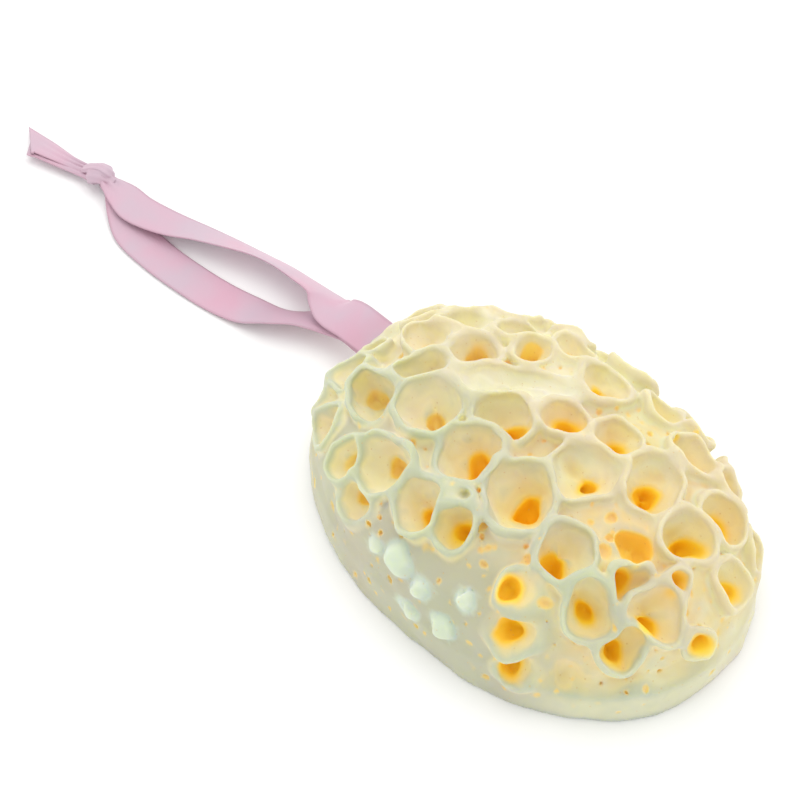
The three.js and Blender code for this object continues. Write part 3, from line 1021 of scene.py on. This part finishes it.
def knot_mesh(name):
    """The gathered ribbon swept along the knot's path, as a pleated band."""
    path = [KNOT_CENTRE + np.array(row) @ KNOT_AXES for row in KNOT_PATH]
    rows, along = even_rows(path, KNOT_STEP)
    points, faces, places = [], [], []
    count, around = len(rows), KNOT_POINTS
    for i, (place, tangent) in enumerate(zip(rows, along)):
        out = place - KNOT_CENTRE + np.array([0.0, 0.0, 0.6])
        out = out - tangent * (out @ tangent)
        out /= np.linalg.norm(out)
        side = np.cross(tangent, out)
        middle = math.sin(math.pi * i / (count - 1)) ** 0.6
        half_width, half_thick = (
            end + fuller * middle for end, fuller in (KNOT_HALF_WIDTH, KNOT_HALF_THICKNESS)
        )
        for j in range(around):
            angle = 2 * math.pi * j / around
            pleat = 1.0 + KNOT_PLEAT_SHARE * math.cos(KNOT_PLEATS * angle + 2.2 * i / count)
            points.append(place + side * half_width * math.cos(angle) * pleat
                          + out * half_thick * math.sin(angle) * pleat)
            places.append((j / around, i / (count - 1)))
    for i in range(count - 1):
        for j in range(around):
            a, b = i * around + j, i * around + (j + 1) % around
            faces.append((a, b, b + around, a + around))
    faces.append(tuple(reversed(range(around))))
    faces.append(tuple(range((count - 1) * around, count * around)))
    return ribbon_object(name, points, faces, places)


# The satin's colours, in slow drifts, its woven edges' colour, and scales per metre.
SATIN_COLORS = [
    (0.32, (0.64, 0.38, 0.48)),
    (0.50, (0.61, 0.41, 0.50)),
    (0.68, (0.57, 0.43, 0.51)),
]
EDGE_COLOR = (0.50, 0.29, 0.37)
SATIN_DRIFT_SCALE, WEAVE_SCALE = 60.0, 900.0


def satin_material():
    material, nodes, links, shader = new_material("satin")
    coordinates = nodes.new("ShaderNodeTexCoord").outputs["Object"]
    across = attribute(nodes, "across")
    drift = noise_node(nodes, links, coordinates, SATIN_DRIFT_SCALE, 2.0)
    color = ramp(nodes, links, drift, SATIN_COLORS)
    edge = grey_ramp(nodes, links, across, [(0.03, 1.0), (0.07, 0.0), (0.93, 0.0), (0.97, 1.0)])
    edge_share = math_node(nodes, links, "MULTIPLY", edge, 0.5)
    color = color_mix(nodes, links, "MIX", edge_share, color, EDGE_COLOR)
    links.new(color, shader.inputs["Base Color"])
    shader.inputs["Roughness"].default_value = 0.45
    shader.inputs["Specular IOR Level"].default_value = 0.4
    shader.inputs["Sheen Weight"].default_value = 0.15
    shader.inputs["Sheen Roughness"].default_value = 0.4
    weave = nodes.new("ShaderNodeTexWave")
    weave.inputs["Scale"].default_value = WEAVE_SCALE
    weave.inputs["Distortion"].default_value = 1.5
    weave.bands_direction = "DIAGONAL"
    links.new(coordinates, weave.inputs["Vector"])
    edge_height = math_node(nodes, links, "MULTIPLY", edge, 2.0)
    height = math_node(nodes, links, "ADD", weave.outputs["Fac"], edge_height)
    add_bump(nodes, links, shader, height, 0.25, 0.0001)
    return material


def thicken(piece):
    """Give a strip its cloth's thickness, half on each side."""
    thick = piece.modifiers.new("thick", "SOLIDIFY")
    thick.thickness = RIBBON_THICKNESS * MM
    thick.offset = 0.0
    apply_modifiers(piece)


def build_ribbon():
    """The ribbon's pieces by name: two strands, two layers of tail and the knot."""
    tail_under = [tuple(np.add(row[:3], UNDER_OFFSET)) + row[3:] for row in TAIL]
    strips = [
        ("ribbon_lower", LOWER_STRAND, LOOP_STEP, 0.0),
        ("ribbon_upper", UPPER_STRAND, LOOP_STEP, 0.0),
        ("ribbon_tail", TAIL, TAIL_STEP, TAIL_SLANT),
        ("ribbon_tail_under", tail_under, TAIL_STEP, UNDER_SLANT),
    ]
    pieces = {}
    for name, run, step, slant in strips:
        pieces[name] = strip_mesh(name, run_sections(run, step), slant)
        thicken(pieces[name])
    pieces["ribbon_knot"] = knot_mesh("ribbon_knot")
    for piece in pieces.values():
        piece.data.shade_smooth()
    return pieces


# ------------------------------------------------------------- camera and lights
# The photo's camera: metres, degrees round from -Y and up, and the lens in mm.
CAMERA_TARGET = Vector((-45.6, -8.6, 20.0)) * MM
CAMERA_DISTANCE = 0.5
CAMERA_ELEVATION, CAMERA_AZIMUTH = 50.0, 49.3
CAMERA_LENS = 77.0

# The key light, in metres and watts, the world's strength and the floor's half side.
KEY_PLACE, KEY_SIZE, KEY_POWER, KEY_COLOR = (-0.25, 0.2, 0.85), 0.9, 2.5, (1.0, 0.98, 0.95)
WORLD_STRENGTH = 1.05
FLOOR_HALF = 3.0


def add_camera():
    e, a = math.radians(CAMERA_ELEVATION), math.radians(CAMERA_AZIMUTH)
    back = Vector((math.sin(a) * math.cos(e), -math.cos(a) * math.cos(e), math.sin(e)))
    right = Vector((math.cos(a), math.sin(a), 0.0))
    data = bpy.data.cameras.new("camera")
    data.lens = CAMERA_LENS
    data.sensor_width = 36.0
    data.clip_start = 0.01
    camera = bpy.data.objects.new("camera", data)
    camera.matrix_world = Matrix((right, back.cross(right), back)).transposed().to_4x4()
    camera.location = CAMERA_TARGET + back * CAMERA_DISTANCE
    bpy.context.scene.collection.objects.link(camera)
    bpy.context.scene.camera = camera


def add_key():
    """A large soft light that faces the origin."""
    data = bpy.data.lights.new("key", "AREA")
    data.energy = KEY_POWER
    data.size = KEY_SIZE
    data.color = KEY_COLOR
    light = bpy.data.objects.new("key", data)
    light.location = KEY_PLACE
    light.rotation_euler = (-Vector(KEY_PLACE)).to_track_quat("-Z", "Y").to_euler()
    bpy.context.scene.collection.objects.link(light)


def add_floor():
    mesh = bpy.data.meshes.new("floor")
    corners = [(-1, -1), (1, -1), (1, 1), (-1, 1)]
    mesh.from_pydata([(FLOOR_HALF * x, FLOOR_HALF * y, 0) for x, y in corners], [], [(0, 1, 2, 3)])
    floor = bpy.data.objects.new("floor", mesh)
    bpy.context.scene.collection.objects.link(floor)
    material, nodes, links, shader = new_material("floor")
    coordinates = nodes.new("ShaderNodeTexCoord").outputs["Object"]
    drift = noise_node(nodes, links, coordinates, 3.0, 2.0)
    color = ramp(nodes, links, drift, [(0.3, (0.95, 0.955, 0.95)), (0.7, (0.965, 0.965, 0.965))])
    links.new(color, shader.inputs["Base Color"])
    shader.inputs["Roughness"].default_value = 0.9
    mesh.materials.append(material)


def add_world():
    world = bpy.data.worlds.new("studio")
    world.use_nodes = True
    background = world.node_tree.nodes["Background"]
    background.inputs["Color"].default_value = (1.0, 1.0, 1.0, 1.0)
    background.inputs["Strength"].default_value = WORLD_STRENGTH
    bpy.context.scene.world = world
    bpy.context.scene.view_settings.view_transform = "Standard"


add_camera()
add_world()
add_floor()
add_key()

sponge = build_sponge()
sponge.data.materials.append(foam_material())
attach(sponge, "root")
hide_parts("sponge")

satin = satin_material()
ribbon = build_ribbon()
for piece in ribbon.values():
    piece.data.materials.append(satin)
    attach(piece, "root")
    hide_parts("ribbon")
